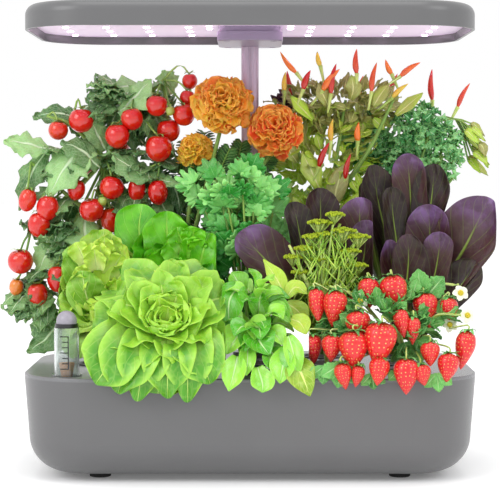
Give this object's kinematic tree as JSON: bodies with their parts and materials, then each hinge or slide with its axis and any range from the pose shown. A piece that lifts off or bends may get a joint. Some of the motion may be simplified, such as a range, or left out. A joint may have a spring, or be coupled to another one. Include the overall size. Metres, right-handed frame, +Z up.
{
  "type": "countertop hydroponic garden",
  "caption": "Low water tank with a planted grow deck, level gauge and pump, under a lamp hood on a telescoping mast.",
  "frame": {"origin": "on the surface that the garden stands on, below the middle of the tank", "axes": "+Z up, +X to the right as the user faces the garden, -Y to the front, where the level gauge is"},
  "size_m": [0.443, 0.239, 0.3936],
  "materials": {
    "body_plastic": "satin grey moulded plastic",
    "foot_rubber": "matt black rubber",
    "basket_plastic": "matt black moulded plastic",
    "sponge": "coarse brown growing foam",
    "light_leaf": "soft yellow-green leaves",
    "green_leaf": "soft green leaves",
    "purple_leaf": "glossy dark red leaves",
    "red_fruit": "glossy ripe fruit among green leaves",
    "orange_flower": "soft orange petals",
    "mast_metal": "satin anodised extrusion",
    "lead_rubber": "soft black insulation",
    "screw_steel": "plain steel",
    "panel_plastic": "white reflector plastic",
    "board": "white solder mask",
    "led": "clear lens over a lit diode",
    "dark_plastic": "satin black moulded plastic",
    "button_plastic": "pale grey moulded plastic",
    "clear_plastic": "clear moulded plastic",
    "float_foam": "amber float and marker"
  },
  "bodies": {
    "tank": {"water_tank": "body_plastic", "rubber_feet": "foot_rubber"},
    "deck": {"grow_deck": "body_plastic", "mast_socket": "body_plastic", "lower_mast": "mast_metal", "mast_bush": "dark_plastic", "gauge_tube": "clear_plastic", "gauge_ring": "dark_plastic", "gauge_cap": "body_plastic", "pump_body": "dark_plastic", "pump_strainer": "dark_plastic", "pump_lead": "lead_rubber", "rear_baskets": "basket_plastic", "rear_sponges": "sponge", "tomato": "red_fruit", "marigold": "orange_flower", "chilli": "green_leaf", "parsley": "green_leaf"},
    "hood": {"upper_mast": "mast_metal", "bracket_cover": "body_plastic", "bracket_plinth": "body_plastic", "bracket_screws": "screw_steel", "lamp_shell": "body_plastic", "lamp_panel": "panel_plastic", "circuit_boards": "board", "led_chips": "led", "control_pad": "dark_plastic", "power_inlet": "dark_plastic"},
    "float": {"level_float": "float_foam"},
    "impeller": {"pump_impeller": "button_plastic"},
    "power_key": {"power_button": "button_plastic"},
    "light_key": {"light_button": "button_plastic"},
    "pump_key": {"pump_button": "button_plastic"},
    "butterhead_pod": {"butterhead_basket": "basket_plastic", "butterhead_sponge": "sponge", "butterhead": "light_leaf"},
    "basil_pod": {"basil_basket": "basket_plastic", "basil_sponge": "sponge", "basil": "green_leaf"},
    "dill_pod": {"dill_basket": "basket_plastic", "dill_sponge": "sponge", "dill": "light_leaf"},
    "strawberry_pod": {"strawberry_basket": "basket_plastic", "strawberry_sponge": "sponge", "strawberry": "red_fruit"},
    "side_lettuce_pod": {"side_lettuce_basket": "basket_plastic", "side_lettuce_sponge": "sponge", "side_lettuce": "light_leaf"},
    "green_lettuce_pod": {"green_lettuce_basket": "basket_plastic", "green_lettuce_sponge": "sponge", "green_lettuce": "green_leaf"},
    "cilantro_pod": {"cilantro_basket": "basket_plastic", "cilantro_sponge": "sponge", "cilantro": "green_leaf"},
    "left_romaine_pod": {"left_romaine_basket": "basket_plastic", "left_romaine_sponge": "sponge", "left_romaine": "purple_leaf"},
    "right_romaine_pod": {"right_romaine_basket": "basket_plastic", "right_romaine_sponge": "sponge", "right_romaine": "purple_leaf"}
  },
  "joints": [
    {"name": "deck_lift", "type": "slide", "parent": "tank", "child": "deck", "axis": [0, 0, 1], "range_m": [0, 0.09]},
    {"name": "hood_height", "type": "slide", "parent": "deck", "child": "hood", "axis": [0, 0, 1], "range_m": [-0.13, 0], "deforming": ["pump_lead", "butterhead", "basil", "dill", "strawberry", "side_lettuce", "green_lettuce", "cilantro", "left_romaine", "right_romaine", "tomato", "marigold", "chilli", "parsley"]},
    {"name": "float_rise", "type": "slide", "parent": "deck", "child": "float", "axis": [0, 0, 1], "range_m": [-0.012, 0.022]},
    {"name": "impeller_spin", "type": "hinge", "parent": "deck", "child": "impeller", "pos_m": [0, 0.05, 0.025], "axis": [0, 1, 0], "continuous": true},
    {"name": "power_press", "type": "slide", "parent": "hood", "child": "power_key", "axis": [0, 0, 1], "range_m": [-0.0012, 0], "stiffness_N_per_m": 400},
    {"name": "light_press", "type": "slide", "parent": "hood", "child": "light_key", "axis": [0, 0, 1], "range_m": [-0.0012, 0], "stiffness_N_per_m": 400},
    {"name": "pump_press", "type": "slide", "parent": "hood", "child": "pump_key", "axis": [0, 0, 1], "range_m": [-0.0012, 0], "stiffness_N_per_m": 400},
    {"name": "butterhead_lift", "type": "slide", "parent": "deck", "child": "butterhead_pod", "axis": [0, 0, 1], "range_m": [0, 0.045]},
    {"name": "basil_lift", "type": "slide", "parent": "deck", "child": "basil_pod", "axis": [0, 0, 1], "range_m": [0, 0.045]},
    {"name": "dill_lift", "type": "slide", "parent": "deck", "child": "dill_pod", "axis": [0, 0, 1], "range_m": [0, 0.045]},
    {"name": "strawberry_lift", "type": "slide", "parent": "deck", "child": "strawberry_pod", "axis": [0, 0, 1], "range_m": [0, 0.045]},
    {"name": "side_lettuce_lift", "type": "slide", "parent": "deck", "child": "side_lettuce_pod", "axis": [0, 0, 1], "range_m": [0, 0.045]},
    {"name": "green_lettuce_lift", "type": "slide", "parent": "deck", "child": "green_lettuce_pod", "axis": [0, 0, 1], "range_m": [0, 0.045]},
    {"name": "cilantro_lift", "type": "slide", "parent": "deck", "child": "cilantro_pod", "axis": [0, 0, 1], "range_m": [0, 0.045]},
    {"name": "left_romaine_lift", "type": "slide", "parent": "deck", "child": "left_romaine_pod", "axis": [0, 0, 1], "range_m": [0, 0.045]},
    {"name": "right_romaine_lift", "type": "slide", "parent": "deck", "child": "right_romaine_pod", "axis": [0, 0, 1], "range_m": [0, 0.045]}
  ]
}
